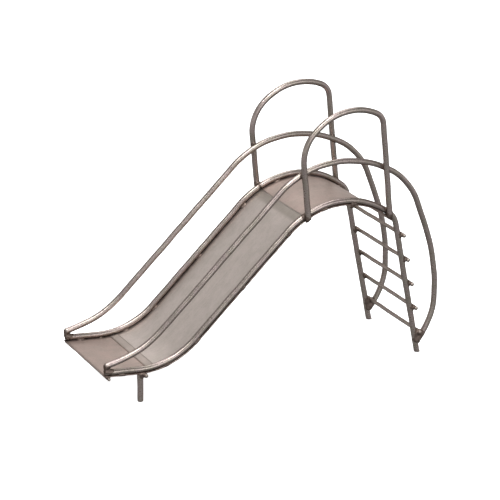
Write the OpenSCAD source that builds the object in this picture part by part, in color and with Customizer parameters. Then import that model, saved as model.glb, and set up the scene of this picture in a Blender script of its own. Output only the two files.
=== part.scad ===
// Miniature straight slide: bent wire frame, sheet metal bed, brazed joints.
// Millimetres. +X runs from the run-out to the ladder, +Y is the rider's
// right when sitting at the top, +Z is up. The origin is the middle of the
// overall box at ground level.

/* [Wire] */
// Diameter of the frame wire (rails, handrails, hoops, legs)
wire_d = 2.4; // [1.8:0.1:3]
// Diameter of the rungs and the front cross bar
rung_d = 1.6; // [1.2:0.1:2.2]
// Diameter of the thin wire under the run-out end
edge_wire_d = 1.2; // [0.8:0.1:1.6]

/* [Bed] */
// Distance between the two rails, centre to centre
bed_w = 42; // [30:1:60]
// Thickness of the bed sheet
sheet_t = 0.5; // [0.3:0.1:0.8]
// How far the sheet's edges stay inside the rails' outer sides
sheet_inset = 0.15; // [0.05:0.05:0.5]
// Height of the rail centre where the run-out starts to bend up
run_out_h = 13.65; // [11:0.05:20]
// Straight length of the run-out ahead of the bend
run_out_len = 13.8; // [10:0.1:20]
// Upward tilt of the run-out towards its free end, degrees
run_out_tilt = 4.4; // [1:0.1:8]
// Radius of the bend between run-out and slope
run_out_bend_r = 32; // [24:1:40]
// Angle of the slope, degrees
slope_angle = 43.6; // [36:0.1:50]
// Angle along the run-out bend at which the first seam lies, degrees
seam_turn = 12; // [8:1:20]
// Width of the cover strip over the first seam
seam_strip_w = 3.4; // [2:0.1:5]
// Thickness of the cover strip
seam_strip_t = 0.3; // [0.2:0.05:0.5]

/* [Platform] */
// Height of the rail centre at the top of the platform
platform_h = 70.3; // [68:0.1:95]
// Radius of the platform's arch
crest_r = 35; // [30:1:36]
// Downward angle at which the arch ends and the ladder bend starts, degrees
crest_fall = 40; // [34:1:42]
// Radius of the bend from the arch into the ladder stile
stile_bend_r = 8; // [6:0.5:11]
// How far the sheet follows that bend, degrees
sheet_tail_turn = 20; // [5:1:28]
// Rail angle at the splice under the hoop's front foot, degrees
splice_heading = 26.5; // [20:0.5:32]

/* [Ladder] */
// Lean of the stiles from the vertical, degrees
stile_lean = 11; // [7:0.5:11.5]
// Height of the lowest rung
bottom_rung_h = 9; // [8:0.1:14]
// Drop from the top of the straight stile to the highest rung
top_rung_drop = 5.4; // [3:0.1:9]
// How far a rung's end stands out past the stile
rung_stub = 1.2; // [0.4:0.1:2.5]

/* [Handrails] */
// Height of the handrail's arch above the rail's arch
handrail_rise = 16.7; // [15:0.1:21]
// Angle at which the handrail leaves the run-out, degrees
handrail_lift = 14; // [8:1:20]
// How far the top of the handrail's arch stands ahead of the platform's
handrail_forward = 1.8; // [1:0.1:2.4]
// Radius of the handrail's lower bend
handrail_low_r = 40; // [30:1:50]
// Radius of the arch on the slope side of its top
handrail_arch_r = 37.7; // [30:0.1:42]
// Radius of the arch on the ladder side of its top
handrail_back_r = 48; // [47:1:52]
// Radius of the handrail's shoulder behind the hoop
shoulder_r = 29; // [27:1:34]
// Radius of the long bend that brings it upright behind the ladder
rear_r = 80; // [60:1:90]
// Radius of the curl back to the stile
curl_r = 28; // [24:1:29]
// Straight length at the handrail's tip
tip_len = 2.2; // [2:0.1:3]
// Height of the handrail's tip
tip_h = 6; // [5:0.1:6.2]

/* [Hoops] */
// Height of the hoop above its front foot
hoop_h = 39.5; // [34:0.5:48]
// Lean of the hoop's posts towards the run-out, degrees
hoop_lean = 5.5; // [0:0.5:8]
// Radius of the hoop's front corner
hoop_front_r = 15; // [10:0.5:17]
// Radius of the hoop's rear corner
hoop_rear_r = 6; // [4:0.5:9]
// Rail angle below horizontal at the hoop's rear foot, degrees
hoop_rear_fall = 37; // [30:0.5:39]
// How far a hoop's foot reaches below the rail's centre
hoop_foot_lap = 0.8; // [0.4:0.1:1]

/* [Supports and brazing] */
// Distance of the front legs behind the start of the bend
leg_setback = 1; // [0:0.1:3]
// How far the cross bar and the end wire stand out past the rails
bar_stub = 0.9; // [0.4:0.1:1.5]
// Gap between brazed pieces, filled by the braze
braze_gap = 0.05; // [0.03:0.01:0.1]
// Chamfer on cut wire ends
end_chamfer = 0.3; // [0.1:0.05:0.5]

/* [Hidden] */
$fn = 96;
far = 400;
weld_lap = 0.15;
weld_step = 0.01;
wire_r = wire_d / 2;
rung_r = rung_d / 2;
edge_wire_r = edge_wire_d / 2;
rail_y = bed_w / 2;
hoop_y = rail_y + wire_d + braze_gap;
WIRE = "#75675f";
WIRE_THIN = "#80736b";
BRAZE = "#5f524b";
SHEET = "#bdb3ab";
SHEET_BROWN = "#a39489";

// A path in the XZ plane starts from a state [x, z, heading] and is a list of
// steps: [length, 0] is a straight, [radius, turn] is an arc, with left turns
// positive. step() gives the state after one step and walk() after i steps.
function arc_side(s) = s[1] > 0 ? 1 : -1;
function step(p, s) = s[1] == 0
    ? [p[0] + s[0] * cos(p[2]), p[1] + s[0] * sin(p[2]), p[2]]
    : [p[0] + arc_side(s) * s[0] * (sin(p[2] + s[1]) - sin(p[2])),
       p[1] + arc_side(s) * s[0] * (cos(p[2]) - cos(p[2] + s[1])), p[2] + s[1]];
function walk(p, path, i) = i == 0 ? p : step(walk(p, path, i - 1), path[i - 1]);
// The state moved sideways by d, to the right of its heading.
function below(p, d) = [p[0] + d * sin(p[2]), p[1] - d * cos(p[2]), p[2]];

// Rails: run-out, bend, slope, platform arch, bend, stile.
bend_rise = run_out_bend_r * (cos(run_out_tilt) - cos(slope_angle));
crest_rise = crest_r * (1 - cos(slope_angle));
slope_len = (platform_h - run_out_h - bend_rise - crest_rise) / sin(slope_angle);
rail_path = [[run_out_len, 0], [run_out_bend_r, run_out_tilt + slope_angle], [slope_len, 0],
    [crest_r, -slope_angle - crest_fall], [stile_bend_r, crest_fall - 90 + stile_lean]];
rail_local_start = [-run_out_len * cos(run_out_tilt),
    run_out_h + run_out_len * sin(run_out_tilt), -run_out_tilt];
local_stile_top = walk(rail_local_start, rail_path, 5);

// Handrails: on top of the run-out's end, parallel to the slope, over the
// platform, round behind the ladder and back to the stile near the ground.
stack = wire_d + braze_gap;
hand_local_start = [rail_local_start[0], rail_local_start[1] + stack / cos(handrail_lift),
    handrail_lift];
hand_bend = [handrail_low_r, slope_angle - handrail_lift];
hand_arch = [handrail_arch_r, -slope_angle];
hand_bend_run = walk([0, 0, handrail_lift], [hand_bend], 1);
hand_arch_run = walk([0, 0, slope_angle], [hand_arch], 1);
crest_top_x = walk(rail_local_start, rail_path, 3)[0] + crest_r * sin(slope_angle);
// What is left for the two straights, before the bend and along the slope.
hand_rest = [
    crest_top_x - handrail_forward - hand_local_start[0] - hand_bend_run[0] - hand_arch_run[0],
    platform_h + handrail_rise - hand_local_start[1] - hand_bend_run[1] - hand_arch_run[1]];
hand_lead_len = hand_rest * [sin(slope_angle), -cos(slope_angle)] / sin(slope_angle - handrail_lift);
hand_slope_len = hand_rest * [-sin(handrail_lift), cos(handrail_lift)]
    / sin(slope_angle - handrail_lift);
back_turn = 30;
shoulder_turn = 40;
curl_turn = 36;
rear_turn = 90 - back_turn - shoulder_turn;
hand_front = [[hand_lead_len, 0], hand_bend, [hand_slope_len, 0], hand_arch,
    [handrail_back_r, -back_turn], [shoulder_r, -shoulder_turn]];
shoulder_end = walk(hand_local_start, hand_front, 6);
// The tip stops beside the stile; the two rear straights close the path.
tip_off = wire_r + braze_gap + wire_r * cos(curl_turn + stile_lean);
stile_out = [cos(stile_lean), sin(stile_lean)];
function stile_axis_x(top, z) = top[0] + (top[1] - z) * tan(stile_lean);
// Centre of something held off the stile's outer side at height z.
function beside_stile(top, z, off) =
    [stile_axis_x(top, z - off * stile_out[1]) + off * stile_out[0], z];
local_tip = beside_stile(local_stile_top, tip_h, tip_off);
curl_run = walk([0, 0, -90], [[curl_r, -curl_turn], [tip_len, 0]], 2);
rear_low = [local_tip[0] - curl_run[0], local_tip[1] - curl_run[1]];
rear_run = walk([0, 0, -back_turn - shoulder_turn], [[rear_r, -rear_turn]], 1);
rear_slant = (rear_low[0] - shoulder_end[0] - rear_run[0]) / cos(back_turn + shoulder_turn);
rear_upright = shoulder_end[1] - rear_slant * sin(back_turn + shoulder_turn)
    + rear_run[1] - rear_low[1];
hand_path = concat(hand_front, [[rear_slant, 0], [rear_r, -rear_turn], [rear_upright, 0],
    [curl_r, -curl_turn], [tip_len, 0]]);

// The shift that puts the origin in the middle of the box.
sheet_top = wire_r + braze_gap;
sheet_bottom = sheet_top + sheet_t;
x_low = below(rail_local_start, sheet_bottom)[0];
x_high = rear_low[0] + wire_r;
shift = -(x_low + x_high) / 2;
function shifted(p) = [p[0] + shift, p[1], p[2]];
rail_start = shifted(rail_local_start);
stile_top = shifted(local_stile_top);
hand_start = shifted(hand_local_start);
stile_len = stile_top[1] / cos(stile_lean) + wire_d;

// Stations along the rails.
bend_start = walk(rail_start, rail_path, 1);
crest_start = walk(rail_start, rail_path, 3);
splice = step(crest_start, [crest_r, splice_heading - slope_angle]);
crest_end = walk(rail_start, rail_path, 4);
rear_foot = step(crest_start, [crest_r, -slope_angle - hoop_rear_fall]);
splice_gap_turn = braze_gap / crest_r * 180 / PI;
lower_path = [rail_path[0], rail_path[1], rail_path[2],
    [crest_r, splice_heading - slope_angle + splice_gap_turn]];
upper_path = [[crest_r, -splice_heading - crest_fall], rail_path[4], [stile_len, 0]];

// Hoops: two leaning posts joined by three arcs.
hoop_up = [-sin(hoop_lean), cos(hoop_lean)];
hoop_across = [cos(hoop_lean), sin(hoop_lean)];
foot_to_foot = [rear_foot[0] - splice[0], rear_foot[1] - splice[1]];
hoop_span = foot_to_foot * hoop_across;
hoop_drop = -(foot_to_foot * hoop_up);
front_turn = 45;
rear_corner_turn = 60;
hoop_top_r = (hoop_span - hoop_front_r * (1 - cos(front_turn))
    - hoop_rear_r * (1 - cos(rear_corner_turn))) / (cos(front_turn) + cos(rear_corner_turn));
front_post = hoop_h - hoop_front_r * sin(front_turn) - hoop_top_r * (1 - sin(front_turn));
rear_post = hoop_h + hoop_drop - hoop_top_r * (1 - sin(rear_corner_turn))
    - hoop_rear_r * sin(rear_corner_turn);
hoop_start = [splice[0] - hoop_foot_lap * hoop_up[0], splice[1] - hoop_foot_lap * hoop_up[1],
    90 + hoop_lean];
hoop_path = [[front_post + hoop_foot_lap, 0], [hoop_front_r, -front_turn],
    [hoop_top_r, front_turn + rear_corner_turn - 180], [hoop_rear_r, -rear_corner_turn],
    [rear_post + hoop_foot_lap, 0]];
// Where a post that rises from p crosses the arc of radius r about c.
function post_meets_arc(p, c, r) =
    let (w = [p[0] - c[0], p[1] - c[1]], b = w * hoop_up, t = sqrt(b * b - w * w + r * r) - b)
    [p[0] + t * hoop_up[0], p[1] + t * hoop_up[1]];
arch_top = walk(hand_start, hand_path, 4);
front_crossing = post_meets_arc(splice, [arch_top[0], arch_top[1] - handrail_arch_r], handrail_arch_r);
rear_crossing = post_meets_arc(rear_foot, [arch_top[0], arch_top[1] - handrail_back_r], handrail_back_r);

// Rungs, numbered from the top.
RUNG_COUNT = 5;
rung_off = wire_r + rung_r + braze_gap;
top_rung_h = stile_top[1] - top_rung_drop;
rung_pitch = (top_rung_h - bottom_rung_h) / (RUNG_COUNT - 1);
rung_len = bed_w + wire_d + 2 * rung_stub;
function rung_at(i) = beside_stile(stile_top, top_rung_h - (i - 1) * rung_pitch, rung_off);

// Front legs and cross bar, under the lowest part of the bend.
bend_centre = below(bend_start, -run_out_bend_r);
leg_x = bend_start[0] + leg_setback;
leg_len = bend_centre[1] - run_out_bend_r - sheet_bottom - braze_gap;
bar_x = leg_x + wire_r + braze_gap + rung_r;
bar_z = bend_centre[1]
    - sqrt(pow(run_out_bend_r + sheet_bottom + braze_gap + rung_r, 2) - pow(bar_x - bend_centre[0], 2));
bar_len = bed_w + wire_d + 2 * bar_stub;
end_wire_at = below(step(rail_start, [wire_r, 0]), sheet_bottom + braze_gap + edge_wire_r);

// Bed.
sheet_w = bed_w + wire_d - 2 * sheet_inset;
strip_side_gap = 0.2;
strip_w = bed_w - wire_d - 2 * strip_side_gap;
strip_turn = seam_strip_w / run_out_bend_r * 180 / PI;
seam_gap_turn = 2 * braze_gap / run_out_bend_r * 180 / PI;
run_out_sheet_path = [rail_path[0], [run_out_bend_r, seam_turn]];
slope_sheet_start = step(bend_start, [run_out_bend_r, seam_turn + seam_gap_turn]);
slope_sheet_path = [[run_out_bend_r, run_out_tilt + slope_angle - seam_turn - seam_gap_turn],
    rail_path[2], [crest_r, splice_heading - slope_angle + 2 * splice_gap_turn]];
platform_sheet_path = [[crest_r, -splice_heading - crest_fall], [stile_bend_r, -sheet_tail_turn]];

// A straight rod along +Z with chamfers c0 and c1 at its ends.
module rod(l, r, c0 = 0, c1 = 0) {
    rotate_extrude()
        polygon([[0, 0], [r - c0, 0], [r, c0], [r, l - c1], [r - c1, l], [0, l]]);
}

// Puts its children at state p, with +X along the heading.
module at(p) {
    translate([p[0], 0, p[1]]) rotate([0, -p[2], 0]) children();
}

// An arc of section children() in the local frame of a path state, made
// longer by the lengths before and after.
module arc_sweep(r, turn, before = 0, after = 0) {
    side = turn > 0 ? 1 : -1;
    extra_before = before / r * 180 / PI;
    extra_after = after / r * 180 / PI;
    from = turn > 0 ? -90 - extra_before : 90 + turn - extra_after;
    translate([0, 0, side * r]) rotate([0, -from, 0]) rotate([90, 0, 0])
        rotate_extrude(angle = abs(turn) + extra_before + extra_after) translate([r, 0]) children();
}

// A round wire of radius r along a path, its cut ends chamfered. Every other
// step is drawn a hair thinner and reaches a little into its neighbours, so
// that no two faces of one wire are tangent.
module wire(start, path, r, c0 = 0, c1 = 0) {
    last = len(path) - 1;
    for (i = [0 : last]) {
        s = path[i];
        thin = i % 2 == 1;
        into_prev = thin ? weld_lap : 0;
        into_next = thin && i < last ? weld_lap : 0;
        body_r = thin ? r - weld_step : r;
        at(walk(start, path, i)) {
            if (s[1] == 0) {
                translate([-into_prev, 0, 0]) rotate([0, 90, 0])
                    rod(s[0] + into_prev + into_next, body_r, i == 0 ? c0 : 0, i == last ? c1 : 0);
            } else {
                arc_sweep(s[0], s[1], into_prev, into_next) circle(body_r);
            }
        }
    }
}

// Steps i to j of a wire as a cutting tool.
module wire_span(start, path, i, j) {
    wire(walk(start, path, i), [for (k = [i : j]) path[k]], wire_r);
}

// A flat strip of width w between the distances top and bottom under a path,
// with every other step a hair thinner, as for the wires.
module strip(start, path, w, top, bottom) {
    last = len(path) - 1;
    for (i = [0 : last]) {
        s = path[i];
        thin = i % 2 == 1;
        into_prev = thin ? weld_lap : 0;
        into_next = thin && i < last ? weld_lap : 0;
        trim = thin ? weld_step : 0;
        t = bottom - top - 2 * trim;
        at(walk(start, path, i)) {
            if (s[1] == 0) {
                translate([-into_prev, trim - w / 2, trim - bottom])
                    cube([s[0] + into_prev + into_next, w - 2 * trim, t]);
            } else {
                inner = (s[1] > 0 ? top : -bottom) + trim;
                arc_sweep(s[0], s[1], into_prev, into_next)
                    translate([inner, trim - w / 2]) square([t, w - 2 * trim]);
            }
        }
    }
}

module cross_rod(x, z, l, r) {
    translate([x, l / 2, z]) rotate([90, 0, 0]) rod(l, r, end_chamfer, end_chamfer);
}

// Side -1 is the rider's left, 1 the right.
module on_side(side, y = rail_y) {
    translate([0, side * y, 0]) children();
}

module lower_rail(side) {
    on_side(side) wire(rail_start, lower_path, wire_r, end_chamfer, 0);
}

module upper_rail(side) {
    difference() {
        on_side(side) wire(splice, upper_path, wire_r);
        translate([-far, -far, -far]) cube([2 * far, 2 * far, far]);
    }
}

module handrail(side) {
    on_side(side) wire(hand_start, hand_path, wire_r, end_chamfer, 0);
}

module hoop(side) {
    on_side(side, hoop_y) wire(hoop_start, hoop_path, wire_r, end_chamfer, end_chamfer);
}

module front_leg(side) {
    on_side(side) wire([leg_x, 0, 90], [[leg_len, 0]], wire_r, end_chamfer, 0);
}

module rung(i) {
    cross_rod(rung_at(i)[0], rung_at(i)[1], rung_len, rung_r);
}

module cross_bar() {
    cross_rod(bar_x, bar_z, bar_len, rung_r);
}

module end_rod() {
    cross_rod(end_wire_at[0], end_wire_at[1], bar_len, edge_wire_r);
}

// Steps i to j of the bed as cutting tools: all below its top face, or all
// above its bottom face.
cut_depth = 3;
module below_bed_top(i, j) {
    strip(walk(rail_start, rail_path, i), [for (k = [i : j]) rail_path[k]], sheet_w, sheet_top, cut_depth);
}

module above_bed_bottom(i, j) {
    strip(walk(rail_start, rail_path, i), [for (k = [i : j]) rail_path[k]], sheet_w + cut_depth,
        -cut_depth, sheet_bottom);
}

// A bead of braze about the point [x, z] in the plane y.
module bead(p, y, r) {
    translate([p[0], y, p[1]]) sphere(r);
}

module run_out_sheet() {
    color(SHEET_BROWN) strip(rail_start, run_out_sheet_path, sheet_w, sheet_top, sheet_bottom);
}

module slope_sheet() {
    color(SHEET) strip(slope_sheet_start, slope_sheet_path, sheet_w, sheet_top, sheet_bottom);
}

module platform_sheet() {
    color(SHEET_BROWN) strip(splice, platform_sheet_path, sheet_w, sheet_top, sheet_bottom);
}

module seam_strip() {
    strip_start = step(bend_start, [run_out_bend_r, seam_turn - strip_turn / 2]);
    color(SHEET) strip(strip_start, [[run_out_bend_r, strip_turn]], strip_w,
        sheet_top - seam_strip_t, sheet_top);
}

module end_wire() {
    color(WIRE_THIN) end_rod();
}

module front_cross_bar() {
    color(WIRE_THIN) cross_bar();
}

module front_leg_left() {
    color(WIRE) front_leg(-1);
}

module front_leg_right() {
    color(WIRE) front_leg(1);
}

module lower_rail_left() {
    color(WIRE) lower_rail(-1);
}

module lower_rail_right() {
    color(WIRE) lower_rail(1);
}

module upper_rail_left() {
    color(WIRE) upper_rail(-1);
}

module upper_rail_right() {
    color(WIRE) upper_rail(1);
}

module handrail_left() {
    color(WIRE) handrail(-1);
}

module handrail_right() {
    color(WIRE) handrail(1);
}

module hoop_left() {
    color(WIRE) hoop(-1);
}

module hoop_right() {
    color(WIRE) hoop(1);
}

module rung_1() {
    color(WIRE_THIN) rung(1);
}

module rung_2() {
    color(WIRE_THIN) rung(2);
}

module rung_3() {
    color(WIRE_THIN) rung(3);
}

module rung_4() {
    color(WIRE_THIN) rung(4);
}

module rung_5() {
    color(WIRE_THIN) rung(5);
}

module braze_rungs() {
    bead_r = 1.2;
    off = wire_r + braze_gap / 2;
    color(BRAZE) difference() {
        for (side = [-1, 1], i = [1 : RUNG_COUNT])
            bead(beside_stile(stile_top, rung_at(i)[1], off), side * rail_y, bead_r);
        for (i = [1 : RUNG_COUNT]) rung(i);
        for (side = [-1, 1]) on_side(side) wire_span(splice, upper_path, 2, 2);
    }
}

module braze_hoop_front_feet() {
    bead_r = 1.5;
    color(BRAZE) difference() {
        for (side = [-1, 1]) bead(splice, side * (rail_y + wire_r + braze_gap / 2), bead_r);
        for (side = [-1, 1]) {
            on_side(side, hoop_y) wire_span(hoop_start, hoop_path, 0, 0);
            on_side(side) wire_span(rail_start, rail_path, 3, 3);
        }
        below_bed_top(3, 3);
    }
}

module braze_hoop_rear_feet() {
    bead_r = 1.5;
    color(BRAZE) difference() {
        for (side = [-1, 1]) bead(rear_foot, side * (rail_y + wire_r + braze_gap / 2), bead_r);
        for (side = [-1, 1]) {
            on_side(side, hoop_y) wire_span(hoop_start, hoop_path, 4, 4);
            on_side(side) wire_span(rail_start, rail_path, 3, 4);
        }
        below_bed_top(3, 4);
    }
}

module braze_hoop_crossings() {
    $fn = 72;
    bead_r = 1.3;
    color(BRAZE) difference() {
        for (side = [-1, 1], p = [front_crossing, rear_crossing])
            bead(p, side * (rail_y + wire_r + braze_gap / 2), bead_r);
        for (side = [-1, 1]) {
            on_side(side, hoop_y) {
                wire_span(hoop_start, hoop_path, 0, 0);
                wire_span(hoop_start, hoop_path, 4, 4);
            }
            on_side(side) wire_span(hand_start, hand_path, 3, 4);
        }
    }
}

module braze_handrail_ends() {
    bead_r = 1.4;
    inset = 1.2;
    p = below(step(rail_start, [inset, 0]), -wire_r - braze_gap / 2);
    color(BRAZE) difference() {
        for (side = [-1, 1]) bead(p, side * rail_y, bead_r);
        for (side = [-1, 1]) on_side(side) {
            wire_span(hand_start, hand_path, 0, 0);
            wire_span(rail_start, rail_path, 0, 0);
        }
    }
}

module braze_handrail_tips() {
    bead_r = 1.5;
    last = len(hand_path) - 1;
    color(BRAZE) difference() {
        for (side = [-1, 1])
            bead(beside_stile(stile_top, tip_h, wire_r + braze_gap / 2), side * rail_y, bead_r);
        for (side = [-1, 1]) on_side(side) {
            wire_span(hand_start, hand_path, last - 1, last);
            wire_span(splice, upper_path, 2, 2);
        }
    }
}

module braze_front_legs() {
    bead_r = 1.25;
    color(BRAZE) difference() {
        for (side = [-1, 1]) bead([leg_x + wire_r + braze_gap / 2, bar_z], side * rail_y, bead_r);
        for (side = [-1, 1]) on_side(side) translate([leg_x, 0, 0]) rod(leg_len + cut_depth, wire_r);
        cross_bar();
        above_bed_bottom(1, 1);
    }
}

module braze_end_wire() {
    bead_r = 0.9;
    color(BRAZE) difference() {
        for (side = [-1, 1]) bead(below(end_wire_at, -edge_wire_r), side * rail_y, bead_r);
        end_rod();
        above_bed_bottom(0, 0);
    }
}

module braze_bed() {
    bead_r = 0.95;
    depth = sheet_top - braze_gap / 2;
    slope_start = walk(rail_start, rail_path, 2);
    lower_tacks = [step(rail_start, [run_out_len / 2, 0]),
        step(bend_start, [run_out_bend_r, slope_angle / 2]), slope_start,
        step(slope_start, [slope_len / 2, 0]), crest_start];
    upper_tacks = [step(splice, [crest_r, -splice_heading / 2]),
        step(splice, [crest_r, -splice_heading - crest_fall / 4]), crest_end];
    color(BRAZE) difference() {
        for (side = [-1, 1], p = concat(lower_tacks, upper_tacks))
            bead(below(p, depth), side * rail_y, bead_r);
        for (side = [-1, 1]) on_side(side) wire_span(rail_start, rail_path, 0, 4);
        below_bed_top(0, 4);
    }
}

run_out_sheet();
slope_sheet();
platform_sheet();
seam_strip();
end_wire();
front_cross_bar();
front_leg_left();
front_leg_right();
lower_rail_left();
lower_rail_right();
upper_rail_left();
upper_rail_right();
handrail_left();
handrail_right();
hoop_left();
hoop_right();
rung_1();
rung_2();
rung_3();
rung_4();
rung_5();
braze_rungs();
braze_hoop_front_feet();
braze_hoop_rear_feet();
braze_hoop_crossings();
braze_handrail_ends();
braze_handrail_tips();
braze_front_legs();
braze_end_wire();
braze_bed();
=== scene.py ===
"""Looks of the miniature straight slide: browned wire, satin sheet metal and lumpy brazed joints."""
import math

import bmesh
import bpy
import numpy as np
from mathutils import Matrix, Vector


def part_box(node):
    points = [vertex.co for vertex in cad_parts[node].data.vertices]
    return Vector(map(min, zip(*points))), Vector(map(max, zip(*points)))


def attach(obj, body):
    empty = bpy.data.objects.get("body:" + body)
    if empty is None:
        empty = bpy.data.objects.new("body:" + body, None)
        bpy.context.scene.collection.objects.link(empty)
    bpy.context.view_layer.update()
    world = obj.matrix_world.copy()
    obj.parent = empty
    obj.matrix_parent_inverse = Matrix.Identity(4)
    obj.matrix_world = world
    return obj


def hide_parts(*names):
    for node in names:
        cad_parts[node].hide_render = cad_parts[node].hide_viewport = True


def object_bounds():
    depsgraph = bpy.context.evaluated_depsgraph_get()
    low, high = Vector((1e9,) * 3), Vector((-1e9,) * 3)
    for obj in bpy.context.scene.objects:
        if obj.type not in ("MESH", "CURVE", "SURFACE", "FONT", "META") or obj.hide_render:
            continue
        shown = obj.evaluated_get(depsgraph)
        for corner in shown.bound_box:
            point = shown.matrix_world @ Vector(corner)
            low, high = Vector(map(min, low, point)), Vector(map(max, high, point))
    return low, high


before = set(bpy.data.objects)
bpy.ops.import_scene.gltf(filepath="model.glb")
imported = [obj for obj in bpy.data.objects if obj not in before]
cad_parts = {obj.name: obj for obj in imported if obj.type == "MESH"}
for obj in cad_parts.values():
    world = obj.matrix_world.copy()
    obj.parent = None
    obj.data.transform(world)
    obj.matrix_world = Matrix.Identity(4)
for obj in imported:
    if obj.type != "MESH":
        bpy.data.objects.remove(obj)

CAD_BOX = [list(corner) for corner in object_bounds()]
MM = 0.001

# ---------------------------------------------------------------- driving sizes, millimetres and degrees
WIRE_R = 1.2
RUNG_R = 0.8
EDGE_WIRE_R = 0.6
GAP = 0.05
BED_W = 42.0
SHEET_T = 0.5
SHEET_INSET = 0.15
RUN_OUT = {"height": 13.65, "length": 13.8, "tilt": 4.4, "bend": 32.0}
SLOPE_ANGLE = 43.6
SEAM_TURN = 12.0
SEAM_STRIP = {"width": 3.4, "thickness": 0.3, "side_gap": 0.2}
PLATFORM = {"height": 70.3, "crest": 35.0, "fall": 40.0, "bend": 8.0, "tail": 20.0, "splice": 26.5}
LADDER = {"lean": 11.0, "rungs": 5, "bottom": 9.0, "top_drop": 5.4, "stub": 1.2}
HANDRAIL = {"rise": 16.7, "lift": 14.0, "forward": 1.8, "low": 40.0, "arch": 37.7, "back": 48.0,
            "shoulder": 29.0, "rear": 80.0, "curl": 28.0, "tip": 2.2, "tip_height": 6.0}
HANDRAIL_TURNS = {"back": 30.0, "shoulder": 40.0, "curl": 36.0}
HOOP = {"height": 39.5, "lean": 5.5, "front": 15.0, "rear": 6.0, "rear_fall": 37.0, "lap": 0.8,
        "front_turn": 45.0, "rear_turn": 60.0}
LEG_SETBACK = 1.0
BAR_STUB = 0.9
RAIL_Y = BED_W / 2
HOOP_Y = RAIL_Y + 2 * WIRE_R + GAP
SHEET_TOP = WIRE_R + GAP
SHEET_BOTTOM = SHEET_TOP + SHEET_T


def cosd(angle):
    return math.cos(math.radians(angle))


def sind(angle):
    return math.sin(math.radians(angle))


# ---------------------------------------------------------------- paths in the XZ plane
# A state is (x, z, heading). A step is (length, 0) for a straight or (radius, turn) for an arc.
def step(p, s):
    if s[1] == 0:
        return (p[0] + s[0] * cosd(p[2]), p[1] + s[0] * sind(p[2]), p[2])
    r = math.copysign(s[0], s[1])
    return (p[0] + r * (sind(p[2] + s[1]) - sind(p[2])),
            p[1] + r * (cosd(p[2]) - cosd(p[2] + s[1])), p[2] + s[1])


def walk(p, path, count):
    for s in path[:count]:
        p = step(p, s)
    return p


def below(p, d):
    return (p[0] + d * sind(p[2]), p[1] - d * cosd(p[2]), p[2])


def sample(start, path, pitch):
    """States and distances about pitch apart along a path."""
    states, dist, total, p = [start], [0.0], 0.0, start
    for s in path:
        length = s[0] if s[1] == 0 else s[0] * math.radians(abs(s[1]))
        count = max(1, math.ceil(length / pitch))
        for k in range(1, count + 1):
            part = (s[0] * k / count, 0) if s[1] == 0 else (s[0], s[1] * k / count)
            states.append(step(p, part))
            dist.append(total + length * k / count)
        total += length
        p = states[-1]
    return np.array(states), np.array(dist)


def arc_rise(radius, low, high):
    return radius * (cosd(low) - cosd(high))


slope_len = (PLATFORM["height"] - RUN_OUT["height"]
             - arc_rise(RUN_OUT["bend"], RUN_OUT["tilt"], SLOPE_ANGLE)
             - arc_rise(PLATFORM["crest"], 0, SLOPE_ANGLE)) / sind(SLOPE_ANGLE)
rail_path = [(RUN_OUT["length"], 0), (RUN_OUT["bend"], RUN_OUT["tilt"] + SLOPE_ANGLE), (slope_len, 0),
             (PLATFORM["crest"], -SLOPE_ANGLE - PLATFORM["fall"]),
             (PLATFORM["bend"], PLATFORM["fall"] - 90 + LADDER["lean"])]
# The run-out's end under the rail is the low end of the box.
sheet_end_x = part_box("run_out_sheet")[0][0] / MM
rail_start = (sheet_end_x + SHEET_BOTTOM * sind(RUN_OUT["tilt"]),
              RUN_OUT["height"] + RUN_OUT["length"] * sind(RUN_OUT["tilt"]), -RUN_OUT["tilt"])
bend_start = walk(rail_start, rail_path, 1)
slope_start = walk(rail_start, rail_path, 2)
crest_start = walk(rail_start, rail_path, 3)
crest_end = walk(rail_start, rail_path, 4)
stile_top = walk(rail_start, rail_path, 5)
stile_len = stile_top[1] / cosd(LADDER["lean"]) + 2 * WIRE_R
splice = step(crest_start, (PLATFORM["crest"], PLATFORM["splice"] - SLOPE_ANGLE))
rear_foot = step(crest_start, (PLATFORM["crest"], -SLOPE_ANGLE - HOOP["rear_fall"]))


def beside_stile(z, off):
    """Centre of something held off the stile's outer side at height z."""
    foot_z = z - off * sind(LADDER["lean"])
    return (stile_top[0] + (stile_top[1] - foot_z) * math.tan(math.radians(LADDER["lean"]))
            + off * cosd(LADDER["lean"]), z)


hand_start = (rail_start[0], rail_start[1] + (2 * WIRE_R + GAP) / cosd(HANDRAIL["lift"]), HANDRAIL["lift"])
hand_bend = (HANDRAIL["low"], SLOPE_ANGLE - HANDRAIL["lift"])
hand_arch = (HANDRAIL["arch"], -SLOPE_ANGLE)
bend_run = step((0, 0, HANDRAIL["lift"]), hand_bend)
arch_run = step((0, 0, SLOPE_ANGLE), hand_arch)
# What is left for the handrail's two lower straights between its fixed ends.
rest_x = (crest_start[0] + PLATFORM["crest"] * sind(SLOPE_ANGLE) - HANDRAIL["forward"]
          - hand_start[0] - bend_run[0] - arch_run[0])
rest_z = PLATFORM["height"] + HANDRAIL["rise"] - hand_start[1] - bend_run[1] - arch_run[1]
across = sind(SLOPE_ANGLE - HANDRAIL["lift"])
hand_lead = (rest_x * sind(SLOPE_ANGLE) - rest_z * cosd(SLOPE_ANGLE)) / across
hand_slope = (rest_z * cosd(HANDRAIL["lift"]) - rest_x * sind(HANDRAIL["lift"])) / across
fall = HANDRAIL_TURNS["back"] + HANDRAIL_TURNS["shoulder"]
hand_front = [(hand_lead, 0), hand_bend, (hand_slope, 0), hand_arch,
              (HANDRAIL["back"], -HANDRAIL_TURNS["back"]),
              (HANDRAIL["shoulder"], -HANDRAIL_TURNS["shoulder"])]
shoulder_end = walk(hand_start, hand_front, 6)
curl = [(HANDRAIL["curl"], -HANDRAIL_TURNS["curl"]), (HANDRAIL["tip"], 0)]
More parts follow.
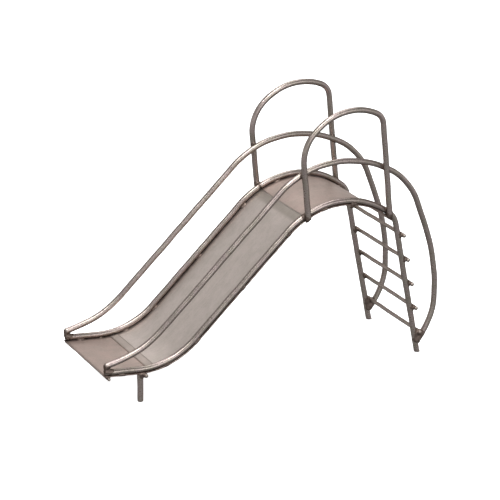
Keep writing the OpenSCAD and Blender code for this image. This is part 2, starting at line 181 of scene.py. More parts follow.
tip_off = WIRE_R + GAP + WIRE_R * cosd(HANDRAIL_TURNS["curl"] + LADDER["lean"])
tip = beside_stile(HANDRAIL["tip_height"], tip_off)
curl_run = walk((0, 0, -90), curl, 2)
rear_low = (tip[0] - curl_run[0], tip[1] - curl_run[1])
rear_run = walk((0, 0, -fall), [(HANDRAIL["rear"], fall - 90)], 1)
rear_slant = (rear_low[0] - shoulder_end[0] - rear_run[0]) / cosd(fall)
rear_upright = shoulder_end[1] - rear_slant * sind(fall) + rear_run[1] - rear_low[1]
hand_path = hand_front + [(rear_slant, 0), (HANDRAIL["rear"], fall - 90), (rear_upright, 0)] + curl

hoop_up = np.array([-sind(HOOP["lean"]), cosd(HOOP["lean"])])
hoop_across = np.array([cosd(HOOP["lean"]), sind(HOOP["lean"])])
feet = np.array(rear_foot[:2]) - np.array(splice[:2])
hoop_top = ((feet @ hoop_across - HOOP["front"] * (1 - cosd(HOOP["front_turn"]))
             - HOOP["rear"] * (1 - cosd(HOOP["rear_turn"])))
            / (cosd(HOOP["front_turn"]) + cosd(HOOP["rear_turn"])))
front_post = (HOOP["height"] - HOOP["front"] * sind(HOOP["front_turn"])
              - hoop_top * (1 - sind(HOOP["front_turn"])))
rear_post = (HOOP["height"] - feet @ hoop_up - hoop_top * (1 - sind(HOOP["rear_turn"]))
             - HOOP["rear"] * sind(HOOP["rear_turn"]))
hoop_start = (splice[0] - HOOP["lap"] * hoop_up[0], splice[1] - HOOP["lap"] * hoop_up[1], 90 + HOOP["lean"])
hoop_path = [(front_post + HOOP["lap"], 0), (HOOP["front"], -HOOP["front_turn"]),
             (hoop_top, HOOP["front_turn"] + HOOP["rear_turn"] - 180), (HOOP["rear"], -HOOP["rear_turn"]),
             (rear_post + HOOP["lap"], 0)]
arch_top = walk(hand_start, hand_path, 4)


def post_meets_arc(foot, radius):
    """Where a hoop's post that rises from foot crosses the handrail's arc, as a state of the handrail."""
    centre = np.array([arch_top[0], arch_top[1] - radius])
    w = np.array(foot[:2]) - centre
    b = w @ hoop_up
    at = np.array(foot[:2]) + hoop_up * (math.sqrt(b * b - w @ w + radius * radius) - b)
    heading = math.degrees(math.atan2(at[1] - centre[1], at[0] - centre[0])) - 90
    return (at[0], at[1], heading)


front_crossing = post_meets_arc(splice, HANDRAIL["arch"])
rear_crossing = post_meets_arc(rear_foot, HANDRAIL["back"])
rung_off = WIRE_R + RUNG_R + GAP
top_rung = stile_top[1] - LADDER["top_drop"]
rung_pitch = (top_rung - LADDER["bottom"]) / (LADDER["rungs"] - 1)
rungs = [beside_stile(top_rung - i * rung_pitch, rung_off) for i in range(LADDER["rungs"])]
bend_centre = below(bend_start, -RUN_OUT["bend"])
leg_x = bend_start[0] + LEG_SETBACK
leg_top = bend_centre[1] - RUN_OUT["bend"] - SHEET_BOTTOM - GAP
bar_x = leg_x + WIRE_R + GAP + RUNG_R
bar_z = bend_centre[1] - math.sqrt((RUN_OUT["bend"] + SHEET_BOTTOM + GAP + RUNG_R) ** 2
                                   - (bar_x - bend_centre[0]) ** 2)
end_wire = below(step(rail_start, (WIRE_R, 0)), SHEET_BOTTOM + GAP + EDGE_WIRE_R)

# ---------------------------------------------------------------- small tools
JOINTS = []  # centres of the brazed joints, filled below and used to darken the metal round them
HEAT_REACH = 2.6


def waves(s, seed, lengths):
    """A smooth wander from -1 to 1 along s, made of one sine for each wavelength."""
    draw = np.random.default_rng(seed)
    total = sum(np.sin(2 * math.pi * s / length + draw.uniform(0, 2 * math.pi)) for length in lengths)
    return total / len(lengths)


def heat_at(points):
    """How much each point was browned by the torch, from 0 to 1."""
    heat = np.zeros(len(points))
    for joint in JOINTS:
        heat = np.maximum(heat, np.exp(-((points - joint) ** 2).sum(1) / HEAT_REACH ** 2))
    return heat


def piece(name, parts, material, slot, *nodes):
    """One object from parts of (points in mm, faces, lay), kept inside the CAD model's box."""
    points = np.concatenate([p for p, _, _ in parts])
    lay = np.concatenate([c for _, _, c in parts])
    faces, offset = [], 0
    for p, f, _ in parts:
        faces += [tuple(k + offset for k in face) for face in f]
        offset += len(p)
    places = np.clip(points * MM, CAD_BOX[0], CAD_BOX[1])
    mesh = bpy.data.meshes.new(name)
    mesh.from_pydata(places.tolist(), [], faces)
    mesh.shade_smooth()
    lay_values, heat_values = lay.ravel().astype(np.float32), heat_at(points).astype(np.float32)
    mesh.attributes.new("lay", "FLOAT_VECTOR", "POINT").data.foreach_set("vector", lay_values)
    mesh.attributes.new("heat", "FLOAT", "POINT").data.foreach_set("value", heat_values)
    mesh.materials.append(material)
    obj = bpy.data.objects.new(name, mesh)
    bpy.context.scene.collection.objects.link(obj)
    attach(obj, "root")
    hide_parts(*nodes)
    return obj


def skin(rings):
    """Quads between closed rings of equal size."""
    count, sides = rings.shape[:2]
    faces = []
    for i in range(count - 1):
        for j in range(sides):
            k = (j + 1) % sides
            faces.append((i * sides + j, i * sides + k, (i + 1) * sides + k, (i + 1) * sides + j))
    return faces


SIDES = 20
END_ROUND = 0.55  # rounding of a cut wire end
DOME_STEPS = 5


def tube(centres, side_dir, up_dir, dist, radius, seed, ends=(True, True)):
    """A hand-bent wire: slightly wandering and uneven, with its cut ends rounded."""
    wander = 0.07
    uneven = 0.022
    fade = np.minimum(1, np.minimum(dist, dist[-1] - dist) / 4)
    centres = (centres + side_dir * (wander * fade * waves(dist, seed, (41, 17)))[:, None]
               + up_dir * (wander * fade * waves(dist, seed + 1, (37, 13)))[:, None])
    rounding = min(END_ROUND, radius * 0.75)
    length = dist[-1]
    stations, radii = list(dist), [radius] * len(dist)
    for at_end in (0, 1):
        if not ends[at_end]:
            continue
        keep = [k for k, s in enumerate(stations) if (s > rounding if at_end == 0 else s < length - rounding)]
        stations, radii = [stations[k] for k in keep], [radii[k] for k in keep]
        dome = []
        for k in range(DOME_STEPS + 1):
            a = math.pi / 2 * k / DOME_STEPS
            dome.append((rounding * (1 - math.sin(a)), radius - rounding * (1 - math.cos(a))))
        if at_end == 0:
            stations = [s for s, _ in reversed(dome)] + stations
            radii = [r for _, r in reversed(dome)] + radii
        else:
            stations = stations + [length - s for s, _ in dome]
            radii = radii + [r for _, r in dome]
    stations, radii = np.array(stations), np.array(radii)
    mid = np.stack([np.interp(stations, dist, centres[:, k]) for k in range(3)], 1)
    side = np.stack([np.interp(stations, dist, side_dir[:, k]) for k in range(3)], 1)
    up = np.stack([np.interp(stations, dist, up_dir[:, k]) for k in range(3)], 1)
    angle = 2 * math.pi * np.arange(SIDES) / SIDES
    dent = (waves(stations, seed + 2, (9, 4.3, 23))[:, None] * np.cos(angle + seed)
            + waves(stations, seed + 3, (6.1, 15, 3.1))[:, None] * np.sin(2 * angle + seed))
    r = radii[:, None] * (1 + uneven * dent)
    rings = (mid[:, None] + side[:, None] * (r * np.cos(angle))[..., None]
             + up[:, None] * (r * np.sin(angle))[..., None])
    points = rings.reshape(-1, 3)
    lay = np.stack([np.repeat(stations, SIDES), (r * np.cos(angle)).ravel(), (r * np.sin(angle)).ravel()], 1)
    faces = skin(rings)
    last = len(stations) - 1
    points = np.concatenate([points, mid[:1], mid[-1:]])
    lay = np.concatenate([lay, [[stations[0], 0, 0]], [[stations[-1], 0, 0]]])
    first_cap, last_cap = len(points) - 2, len(points) - 1
    for j in range(SIDES):
        k = (j + 1) % SIDES
        faces.append((first_cap, k, j))
        faces.append((last_cap, last * SIDES + j, last * SIDES + k))
    return points, faces, lay


def path_frames(states, y):
    count = len(states)
    centres = np.stack([states[:, 0], np.full(count, y), states[:, 1]], 1)
    heading = np.radians(states[:, 2])
    side = np.tile([0.0, 1.0, 0.0], (count, 1))
    up = np.stack([-np.sin(heading), np.zeros(count), np.cos(heading)], 1)
    return centres, side, up


PITCH = 0.8


def path_wire(start, path, y, seed, ends=(True, True)):
    states, dist = sample(start, path, PITCH)
    centres, side, up = path_frames(states, y)
    return tube(centres, side, up, dist, WIRE_R, seed, ends)


def cross_wire(x, z, length, radius, seed):
    dist = np.linspace(0, length, math.ceil(length / PITCH) + 1)
    count = len(dist)
    centres = np.stack([np.full(count, x), dist - length / 2, np.full(count, z)], 1)
    side, up = np.tile([1.0, 0, 0], (count, 1)), np.tile([0, 0, 1.0], (count, 1))
    return tube(centres, side, up, dist, radius, seed)


ACROSS = 44
EDGE_STEPS = 4


def sheet(start, path, width, top, bottom, seed, ragged=0.12, buckle=0.05):
    """A strip of sheet metal under a path, with hand-cut edges and a slight buckle."""
    states, dist = sample(start, path, PITCH)
    centres, side, up = path_frames(states, 0.0)
    half, t = width / 2, bottom - top
    edge = t / 2
    flat = np.linspace(-half + edge, half - edge, ACROSS)
    turn = np.linspace(math.pi / 2, -math.pi / 2, EDGE_STEPS + 2)[1:-1]
    lip = half - edge + edge * np.cos(turn)
    y = np.concatenate([flat, lip, flat[::-1], -lip])
    d = np.concatenate([np.full(ACROSS, top), (top + bottom) / 2 - edge * np.sin(turn),
                        np.full(ACROSS, bottom), (top + bottom) / 2 + edge * np.sin(turn)])
    share = np.clip((np.abs(y) - half + 2.5) / 2.5, 0, 1)
    right = waves(dist, seed, (19, 7.3, 11, 3.7))
    left = waves(dist, seed + 1, (23, 8.1, 12.7, 4.1))
    cut = np.where(y[None] > 0, right[:, None], -left[:, None]) * ragged * share
    sag = buckle * waves(dist, seed + 2, (31, 14))[:, None] * np.cos(math.pi * y / width)[None]
    pressed = buckle * (waves(dist, seed + 3, (5.3, 9.1))[:, None]) * share
    yy = y[None] + cut
    dd = d[None] + np.abs(sag) + np.abs(pressed)
    rings = centres[:, None] + side[:, None] * yy[..., None] - up[:, None] * dd[..., None]
    ring = len(y)
    faces = skin(rings)
    lay = np.stack([np.repeat(dist, ring), yy.ravel(), dd.ravel()], 1)
    last = (len(dist) - 1) * ring
    for j in range(ACROSS - 1):
        under = 2 * ACROSS + EDGE_STEPS - 1 - j
        faces.append((j, j + 1, under - 1, under))
        faces.append((last + j, last + under, last + under - 1, last + j + 1))
    for first in (0, last):
        lip_right = [ACROSS - 1 + k for k in range(EDGE_STEPS + 2)]
        lip_left = [2 * ACROSS + EDGE_STEPS - 1 + k for k in range(EDGE_STEPS + 1)] + [0]
        for corners in (lip_right, lip_left):
            loop = [first + k for k in corners]
            faces.append(tuple(loop if first else loop[::-1]))
    return rings.reshape(-1, 3), faces, lay


# ---------------------------------------------------------------- braze
def line(x, y, z, direction, radius):
    """A straight stretch of wire as a distance function."""
    p, d = np.array([x, y, z], float), np.array(direction, float)
    d /= np.linalg.norm(d)

    def distance(q):
        w = q - p
        return np.linalg.norm(w - (w @ d)[:, None] * d, axis=1) - radius
    return distance


def plate(state):
    """The bed's sheet about a state of the rails as a distance function."""
    p = np.array([state[0], 0, state[1]])
    up = np.array([-sind(state[2]), 0, cosd(state[2])])
    half = (BED_W + 2 * WIRE_R) / 2 - SHEET_INSET

    def distance(q):
        depth = -(q - p) @ up
        through = np.abs(depth - (SHEET_TOP + SHEET_BOTTOM) / 2) - SHEET_T / 2
        return np.maximum(through, np.abs(q[:, 1]) - half)
    return distance


def heading_line(state, y, radius=WIRE_R):
    return line(state[0], y, state[1], (cosd(state[2]), 0, sind(state[2])), radius)


def ball_directions(detail):
    """Points and triangles of a unit icosphere."""
    mesh = bpy.data.meshes.new("ball")
    bm = bmesh.new()
    bmesh.ops.create_icosphere(bm, subdivisions=detail, radius=1)
    bm.to_mesh(mesh)
    bm.free()
    points = np.array([v.co for v in mesh.vertices])
    faces = [tuple(f.vertices) for f in mesh.polygons]
    bpy.data.meshes.remove(mesh)
    return points, faces


BALL = ball_directions(4)


def smooth_min(a, b, k):
    h = np.maximum(k - np.abs(a - b), 0) / k
    return np.minimum(a, b) - h * h * k / 4


def blob(centre, things, reach, cover, fillet, seed):
    """Braze that has run between things and thins out at a distance reach from its centre."""
    centre = np.array(centre, float)
    JOINTS.append(centre)
    directions, faces = BALL
    draw = np.random.default_rng(seed)
    axes = draw.normal(size=(5, 3))
    phases = draw.uniform(0, 2 * math.pi, 5)
    lump = sum(np.sin(3.2 * directions @ a + f) for a, f in zip(axes, phases)) / 5
    reach = reach * (1 + 0.28 * lump)
    low, high = np.zeros(len(directions)), reach * 1.1

    def outside(radii):
        q = centre + directions * radii[:, None]
        field = things[0](q)
        for thing in things[1:]:
            field = smooth_min(field, thing(q), fillet)
        return field - cover * (1 - (radii / reach) ** 2) - 0.25 * cover * lump > 0

    # The first crossing outward, on a coarse grid, then halved down to size.
    found = np.zeros(len(directions), bool)
    grid = 28
    for k in range(1, grid + 1):
        radii = reach * 1.1 * k / grid
        hit = outside(radii) & ~found
        low = np.where(hit, reach * 1.1 * (k - 1) / grid, low)
        high = np.where(hit, radii, high)
        found |= hit
    for _ in range(10):
        middle = (low + high) / 2
        out = outside(middle)
        high = np.where(found & out, middle, high)
        low = np.where(found & ~out, middle, low)
    r = np.where(found, high, reach * 1.1)
    points = centre + directions * r[:, None]
    return points, faces, points - centre


# ---------------------------------------------------------------- materials
def add(tree, kind, props=None, **sockets):
    node = tree.nodes.new(kind)
    for key, value in (props or {}).items():
        setattr(node, key, value)
    for key, value in sockets.items():
        socket = node.inputs[key.replace("_", " ")]
        if isinstance(value, bpy.types.NodeSocket):
            tree.links.new(value, socket)
        else:
            socket.default_value = value
    return node


def mix(tree, factor, a, b, mode="MIX"):
    node = tree.nodes.new("ShaderNodeMix")
    node.data_type, node.blend_type = "RGBA", mode
    for socket, value in ((node.inputs[0], factor), (node.inputs[6], a), (node.inputs[7], b)):
        if isinstance(value, bpy.types.NodeSocket):
            tree.links.new(value, socket)
        else:
            socket.default_value = value if isinstance(value, float) else (*value, 1.0)
    return node.outputs[2]


def ramp(tree, factor, *stops):
    """A value that follows stops of (position, value)."""
    node = tree.nodes.new("ShaderNodeValToRGB")
    elements = node.color_ramp.elements
    while len(elements) < len(stops):
        elements.new(0.5)
    for element, (place, value) in zip(elements, stops):
        element.position = place
        element.color = (value, value, value, 1)
    tree.links.new(factor, node.inputs[0])
    return node.outputs[0]


def noise(tree, vector, scale, detail=3.0, roughness=0.55, stretch=(1, 1, 1)):
    scaled = add(tree, "ShaderNodeMapping", Vector=vector, Scale=stretch).outputs[0]
    return add(tree, "ShaderNodeTexNoise", Vector=scaled, Scale=scale, Detail=detail,
               Roughness=roughness).outputs[0]


def scaled_by(tree, a, b):
    node = add(tree, "ShaderNodeMath", {"operation": "MULTIPLY"})
    for socket, value in zip(node.inputs, (a, b)):
        if isinstance(value, bpy.types.NodeSocket):
            tree.links.new(value, socket)
        else:
            socket.default_value = value
    return node.outputs[0]


def bumped(tree, height, distance, strength, normal=None):
    node = add(tree, "ShaderNodeBump", Height=height, Distance=distance, Strength=strength)
    if normal is not None:
        tree.links.new(normal, node.inputs["Normal"])
    return node.outputs[0]


def share_of(tree, value, low, high):
    """0 where value is low, 1 where it is high."""
    node = add(tree, "ShaderNodeMapRange", {"interpolation_type": "SMOOTHSTEP"}, Value=value)
    node.inputs["From Min"].default_value = low
    node.inputs["From Max"].default_value = high
    return node.outputs[0]


def metal(name, tones, stain, scorch_and_rail_shade, streak, roughness, spread, rim, metallic=1.0, sheet_like=False,
          end_band=None):
    """A browned metal. tones are its base colours, stain its dark spots, the scorch tone its colour at joints
    and on a sheet also the painted shade along the rails.

    A sheet also gets painted shade, mottled, where it meets the rails, and turns darker from end_band's first
    distance on, up to its second.
    """
    material = bpy.data.materials.new(name)
    material.use_nodes = True
    tree = material.node_tree
    shader = tree.nodes["Principled BSDF"]
    place = add(tree, "ShaderNodeTexCoord").outputs["Object"]
    lay = add(tree, "ShaderNodeAttribute", {"attribute_name": "lay"}).outputs["Vector"]
    heat = add(tree, "ShaderNodeAttribute", {"attribute_name": "heat"}).outputs["Fac"]
    clouds = noise(tree, place, 210, 4.0, 0.6)
    spots = noise(tree, place, 1300, 4.0, 0.65)
    grain = noise(tree, place, 6000, 3.0, 0.6)
    drawn = noise(tree, lay, 1.0, 4.0, 0.6, streak)
    base = mix(tree, ramp(tree, clouds, (0.38, 0), (0.62, 1)), tones[0], tones[1])
    base = mix(tree, ramp(tree, drawn, (0.35, 0), (0.75, 0.45)), base, tones[2])
    base = mix(tree, ramp(tree, spots, (0.52, 0), (0.72, 0.6 if not sheet_like else 0.22)), base, stain)
    if sheet_like:
        along, across_sheet = add(tree, "ShaderNodeSeparateXYZ", Vector=lay).outputs[:2]
        from_middle = add(tree, "ShaderNodeMath", {"operation": "ABSOLUTE"}, Value=across_sheet).outputs[0]
        # painted shade: the sheet is darkened, mottled by the clouds, next to the rails where they shade it
        # and meet it
        rail_shade = scaled_by(tree, share_of(tree, from_middle, RAIL_SHADE_FROM, RAIL_Y - WIRE_R + 0.3),
                         ramp(tree, clouds, (0.3, 0.45), (0.65, 0.9)))
        base = mix(tree, rail_shade, base, scorch_and_rail_shade)
        # the sheet turns a darker olive grey from end_band's first distance on, up to its second
        if end_band:
            base = mix(tree, scaled_by(tree, share_of(tree, along, *end_band), BAND_SHARE), base, BAND_TONE)
    torch = scaled_by(tree, heat, ramp(tree, clouds, (0.2, 0.7), (0.7, 1)))
    base = mix(tree, ramp(tree, torch, (0.12, 0), (0.85, 0.85)), base, scorch_and_rail_shade)
    tree.links.new(base, shader.inputs["Base Color"])
    shader.inputs["Metallic"].default_value = metallic
    shader.inputs["Specular Tint"].default_value = (*rim, 1)
    dull = mix(tree, ramp(tree, spots, (0.35, 0), (0.7, 1)),
               (roughness - spread,) * 3, (roughness + spread,) * 3)
    dull = mix(tree, ramp(tree, torch, (0.1, 0), (0.9, 0.7)), dull, (0.62,) * 3)
    tree.links.new(dull, shader.inputs["Roughness"])
    normal = bumped(tree, clouds, 0.00012 if sheet_like else 0.00009, 0.35)
    normal = bumped(tree, drawn, 0.00002, 0.35, normal)
    normal = bumped(tree, spots, 0.00003, 0.2, normal)
    normal = bumped(tree, grain, 0.000012, 0.25, normal)
    tree.links.new(normal, shader.inputs["Normal"])
    return material


RAIL_SHADE_FROM = RAIL_Y - WIRE_R - 1.6  # where the painted shade along the rails begins
WIRE_RIM = (0.28, 0.235, 0.22)
BAND_TONE, BAND_SHARE = (0.30, 0.265, 0.225), 0.6
slope_sheet_len = (RUN_OUT["bend"] * math.radians(RUN_OUT["tilt"] + SLOPE_ANGLE - SEAM_TURN) + slope_len
                   + PLATFORM["crest"] * math.radians(SLOPE_ANGLE - PLATFORM["splice"]))
FRAME_WIRE = metal("frame_wire_metal", ((0.38, 0.31, 0.295), (0.33, 0.295, 0.25), (0.47, 0.41, 0.385)),
                   (0.11, 0.078, 0.072), (0.085, 0.060, 0.052), (0.25, 2.4, 2.4), 0.32, 0.07, WIRE_RIM)
THIN_WIRE = metal("thin_wire_metal", ((0.42, 0.35, 0.32), (0.35, 0.31, 0.265), (0.54, 0.47, 0.43)),
                  (0.13, 0.095, 0.085), (0.09, 0.064, 0.055), (0.25, 2.8, 2.8), 0.32, 0.07, WIRE_RIM)
BED_PALE = metal("bed_pale_metal", ((0.60, 0.525, 0.485), (0.53, 0.47, 0.425), (0.68, 0.605, 0.56)),
                 (0.33, 0.275, 0.24), (0.15, 0.105, 0.088), (0.08, 1.6, 0.2), 0.38, 0.06, (0.7, 0.68, 0.66),
                 0.7, sheet_like=True, end_band=(slope_sheet_len - 5.5, slope_sheet_len - 3.5))
SEAM_PALE = metal("seam_cover_metal", ((0.47, 0.40, 0.36), (0.43, 0.37, 0.33), (0.52, 0.45, 0.41)),
                  (0.29, 0.235, 0.21), (0.15, 0.105, 0.088), (0.08, 1.6, 0.2), 0.40, 0.06, (0.7, 0.68, 0.66),
                  0.7, sheet_like=True)
BED_BROWN = metal("bed_brown_metal", ((0.49, 0.385, 0.345), (0.43, 0.35, 0.31), (0.56, 0.455, 0.41)),
                  (0.26, 0.18, 0.155), (0.13, 0.085, 0.072), (0.08, 1.6, 0.2), 0.40, 0.06, (0.6, 0.57, 0.54),
                  0.7, sheet_like=True)
BRAZE = metal("braze_metal", ((0.19, 0.145, 0.125), (0.14, 0.108, 0.094), (0.27, 0.215, 0.185)),
              (0.06, 0.044, 0.038), (0.12, 0.088, 0.075), (1.2, 1.2, 1.2), 0.48, 0.10, (0.3, 0.25, 0.22))

# ---------------------------------------------------------------- pieces: braze first, because it sets JOINTS
SIDE_NAMES = (("left", -1), ("right", 1))
stile_dir = (sind(LADDER["lean"]), 0, -cosd(LADDER["lean"]))
post_dir = (-sind(HOOP["lean"]), 0, cosd(HOOP["lean"]))
groups = {name: [] for name in ("rungs", "hoop_front_feet", "hoop_rear_feet", "hoop_crossings",
                                "handrail_ends", "handrail_tips", "front_legs", "end_wire", "bed")}
for label, s in SIDE_NAMES:
    y = s * RAIL_Y
    between = s * (RAIL_Y + WIRE_R + GAP / 2)
    stile = line(stile_top[0], y, stile_top[1], stile_dir, WIRE_R)
    for i, (x, z) in enumerate(rungs):
        at = beside_stile(z, WIRE_R + GAP / 2)
        groups["rungs"].append(blob((at[0], y, at[1]), [stile, line(x, y, z, (0, 1, 0), RUNG_R)],
                                    1.75, 0.10, 0.9, 20 + 2 * i + (s > 0)))
    for group, foot, seed in (("hoop_front_feet", splice, 40), ("hoop_rear_feet", rear_foot, 42)):
        post = line(foot[0], s * HOOP_Y, foot[1], post_dir, WIRE_R)
        groups[group].append(blob((foot[0], between, foot[1] - 0.2), [heading_line(foot, y), post],
                                  2.1, 0.16, 1.2, seed + (s > 0)))
    for cross, foot, seed in ((front_crossing, splice, 50), (rear_crossing, rear_foot, 52)):
        post = line(foot[0], s * HOOP_Y, foot[1], post_dir, WIRE_R)
        groups["hoop_crossings"].append(blob((cross[0], between, cross[1]), [heading_line(cross, y), post],
                                             1.7, 0.08, 0.9, seed + (s > 0)))
    end = below(step(rail_start, (1.6, 0)), -WIRE_R - GAP / 2)
    groups["handrail_ends"].append(blob((end[0], y, end[1]), [heading_line(rail_start, y),
                                                              heading_line(hand_start, y)],
                                        2.2, 0.12, 1.1, 60 + (s > 0)))
    at = beside_stile(HANDRAIL["tip_height"], WIRE_R + GAP / 2)
    tip_state = walk(hand_start, hand_path, len(hand_path))
    low_rung = line(rungs[-1][0], y, rungs[-1][1], (0, 1, 0), RUNG_R)
    groups["handrail_tips"].append(blob((at[0] + 0.5, y, at[1] + 1.0),
                                        [stile, heading_line(tip_state, y), low_rung],
                                        2.7, 0.16, 1.5, 64 + (s > 0)))
    leg = line(leg_x, y, 0, (0, 0, 1), WIRE_R)
    bar = line(bar_x, y, bar_z, (0, 1, 0), RUNG_R)
    leg_state = (leg_x, bend_centre[1] - RUN_OUT["bend"], 0)
    groups["front_legs"].append(blob((leg_x + WIRE_R * 0.8, y, bar_z), [leg, bar, plate(leg_state)],
                                     1.9, 0.10, 1.0, 70 + (s > 0)))
    groups["end_wire"].append(blob((end_wire[0], y, end_wire[1] + 0.3),
                                   [line(end_wire[0], y, end_wire[1], (0, 1, 0), EDGE_WIRE_R),
                                    plate(rail_start)],
                                   1.3, 0.08, 0.7, 74 + (s > 0)))
    tacks = [step(rail_start, (RUN_OUT["length"] / 2, 0)),
             step(bend_start, (RUN_OUT["bend"], SLOPE_ANGLE / 2)),
             slope_start, step(slope_start, (slope_len / 2, 0)), crest_start,
             step(splice, (PLATFORM["crest"], -PLATFORM["splice"] / 2)),
             step(splice, (PLATFORM["crest"], -PLATFORM["splice"] - PLATFORM["fall"] / 4)), crest_end]
    for i, tack in enumerate(tacks):
        at = below(tack, SHEET_TOP)
        groups["bed"].append(blob((at[0], y, at[1]), [heading_line(tack, y), plate(tack)],
                                  1.6, 0.07, 1.0, 80 + 2 * i + (s > 0)))
for group, parts in groups.items():
    piece(f"run_{group}", parts, BRAZE, "braze", f"braze_{group}")

# ---------------------------------------------------------------- pieces: wires
lower_path = rail_path[:3] + [(PLATFORM["crest"], PLATFORM["splice"] - SLOPE_ANGLE
                               + math.degrees(GAP / PLATFORM["crest"]))]
upper_path = [(PLATFORM["crest"], -PLATFORM["splice"] - PLATFORM["fall"]), rail_path[4], (stile_len, 0)]
for label, s in SIDE_NAMES:
    first = 200 + 50 * (s > 0)
    y = s * RAIL_Y
    piece(f"lower_rail_{label}_wire", [path_wire(rail_start, lower_path, y, first)],
          FRAME_WIRE, "frame_wire", f"lower_rail_{label}")
    piece(f"upper_rail_{label}_wire", [path_wire(splice, upper_path, y, first + 5)],
          FRAME_WIRE, "frame_wire", f"upper_rail_{label}")
    piece(f"handrail_{label}_wire", [path_wire(hand_start, hand_path, y, first + 10)],
          FRAME_WIRE, "frame_wire", f"handrail_{label}")
    piece(f"hoop_{label}_wire", [path_wire(hoop_start, hoop_path, s * HOOP_Y, first + 15)],
          FRAME_WIRE, "frame_wire", f"hoop_{label}")
    leg_wire = path_wire((leg_x, 0, 90), [(leg_top, 0)], y, first + 20, (True, False))
    piece(f"front_leg_{label}_wire", [leg_wire], FRAME_WIRE, "frame_wire", f"front_leg_{label}")
for i, (x, z) in enumerate(rungs, 1):
    length = BED_W + 2 * WIRE_R + 2 * LADDER["stub"]
    piece(f"rung_{i}_wire", [cross_wire(x, z, length, RUNG_R, 300 + 5 * i)],
          THIN_WIRE, "thin_wire", f"rung_{i}")
bar_len = BED_W + 2 * WIRE_R + 2 * BAR_STUB
piece("front_cross_bar_wire", [cross_wire(bar_x, bar_z, bar_len, RUNG_R, 340)],
      THIN_WIRE, "thin_wire", "front_cross_bar")
piece("end_wire_wire", [cross_wire(end_wire[0], end_wire[1], bar_len, EDGE_WIRE_R, 345)],
      THIN_WIRE, "thin_wire", "end_wire")

# ---------------------------------------------------------------- pieces: bed
sheet_w = BED_W + 2 * WIRE_R - 2 * SHEET_INSET
crest_gap = math.degrees(GAP / PLATFORM["crest"])
seam_gap = math.degrees(2 * GAP / RUN_OUT["bend"])
piece("run_out_plate", [sheet(rail_start, [rail_path[0], (RUN_OUT["bend"], SEAM_TURN)], sheet_w,
                              SHEET_TOP, SHEET_BOTTOM, 400)], BED_BROWN, "bed_brown", "run_out_sheet")
slope_path = [(RUN_OUT["bend"], RUN_OUT["tilt"] + SLOPE_ANGLE - SEAM_TURN - seam_gap), rail_path[2],
              (PLATFORM["crest"], PLATFORM["splice"] - SLOPE_ANGLE + 2 * crest_gap)]
piece("slope_plate", [sheet(step(bend_start, (RUN_OUT["bend"], SEAM_TURN + seam_gap)), slope_path, sheet_w,
                            SHEET_TOP, SHEET_BOTTOM, 410)], BED_PALE, "bed_pale", "slope_sheet")
platform_path = [(PLATFORM["crest"], -PLATFORM["splice"] - PLATFORM["fall"]),
                 (PLATFORM["bend"], -PLATFORM["tail"])]
piece("platform_plate", [sheet(splice, platform_path, sheet_w, SHEET_TOP, SHEET_BOTTOM, 420)],
      BED_BROWN, "bed_brown", "platform_sheet")
strip_turn = math.degrees(SEAM_STRIP["width"] / RUN_OUT["bend"])
strip_w = BED_W - 2 * WIRE_R - 2 * SEAM_STRIP["side_gap"]
piece("seam_cover", [sheet(step(bend_start, (RUN_OUT["bend"], SEAM_TURN - strip_turn / 2)),
                           [(RUN_OUT["bend"], strip_turn)], strip_w, SHEET_TOP - SEAM_STRIP["thickness"],
                           SHEET_TOP, 430, 0.05, 0.02)], SEAM_PALE, "bed_pale", "seam_strip")

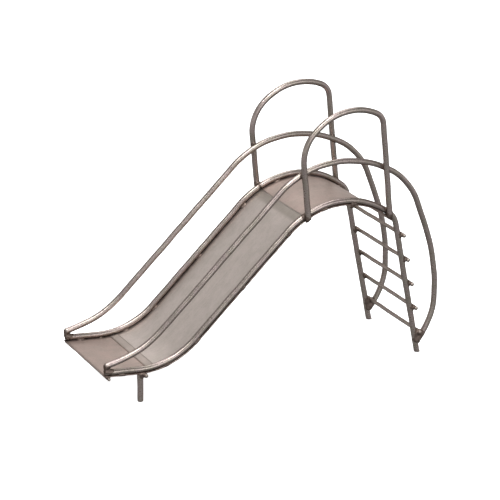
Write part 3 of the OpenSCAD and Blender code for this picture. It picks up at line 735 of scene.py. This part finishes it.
# ---------------------------------------------------------------- stage
FLOOR_SIZE = 8.0
floor_mesh = bpy.data.meshes.new("floor")
corner = FLOOR_SIZE / 2
corners = [(-corner, -corner, 0), (corner, -corner, 0), (corner, corner, 0), (-corner, corner, 0)]
floor_mesh.from_pydata(corners, [], [(0, 1, 2, 3)])
floor = bpy.data.objects.new("floor", floor_mesh)
bpy.context.scene.collection.objects.link(floor)
paper = bpy.data.materials.new("white_paper")
paper.use_nodes = True
paper_shader = paper.node_tree.nodes["Principled BSDF"]
paper_shader.inputs["Base Color"].default_value = (0.92, 0.92, 0.92, 1)
paper_shader.inputs["Roughness"].default_value = 0.9
paper_shader.inputs["Specular IOR Level"].default_value = 0.0
paper_shader.inputs["Emission Color"].default_value = (1, 1, 1, 1)
paper_shader.inputs["Emission Strength"].default_value = 0.8
floor_mesh.materials.append(paper)
floor.visible_glossy = False
floor.visible_diffuse = False

# Camera: a long lens at the level of the platform's underside, turned towards the run-out.
AZIMUTH, ELEVATION, DISTANCE, LENS = -25.62, 19.30, 1.008, 179.8
target = np.array([-0.0012, 0.0, 0.0477])
back = np.array([sind(AZIMUTH) * cosd(ELEVATION), -cosd(AZIMUTH) * cosd(ELEVATION), sind(ELEVATION)])
camera_data = bpy.data.cameras.new("camera")
camera_data.lens = LENS
camera_data.sensor_width = 36
camera_data.clip_start = 0.01
camera = bpy.data.objects.new("camera", camera_data)
camera.location = target + DISTANCE * back
camera.rotation_euler = (math.radians(90 - ELEVATION), 0, math.radians(AZIMUTH))
bpy.context.scene.collection.objects.link(camera)
bpy.context.scene.camera = camera


def softbox(name, azimuth, elevation, distance, size, power):
    """A square area light that looks at the slide."""
    data = bpy.data.lights.new(name, "AREA")
    data.shape = "SQUARE"
    data.size = size
    data.energy = power
    light = bpy.data.objects.new(name, data)
    light.location = (distance * sind(azimuth) * cosd(elevation), -distance * cosd(azimuth) * cosd(elevation),
                      distance * sind(elevation) + 0.05)
    light.rotation_euler = (math.radians(90 - elevation), 0, math.radians(azimuth))
    bpy.context.scene.collection.objects.link(light)


softbox("key", -40, 66, 0.8, 0.45, 4.3)
softbox("top", 160, 62, 0.9, 0.6, 3)
softbox("fill", 10, 18, 1.2, 0.6, 3)

world = bpy.data.worlds.new("studio")
bpy.context.scene.world = world
world.use_nodes = True
sky = world.node_tree
sky_place = add(sky, "ShaderNodeTexCoord").outputs["Generated"]
up_share = add(sky, "ShaderNodeSeparateXYZ", Vector=sky_place).outputs[2]
level = add(sky, "ShaderNodeMapRange", Value=up_share).outputs[0]
level.node.inputs["From Min"].default_value = -1
shade = ramp(sky, level, (0.0, 0.24), (0.42, 0.50), (0.56, 0.86), (0.72, 0.50), (1.0, 0.36))
sky.links.new(shade, sky.nodes["Background"].inputs["Color"])
sky.nodes["Background"].inputs["Strength"].default_value = 1.0
bpy.context.scene.view_settings.view_transform = "Standard"
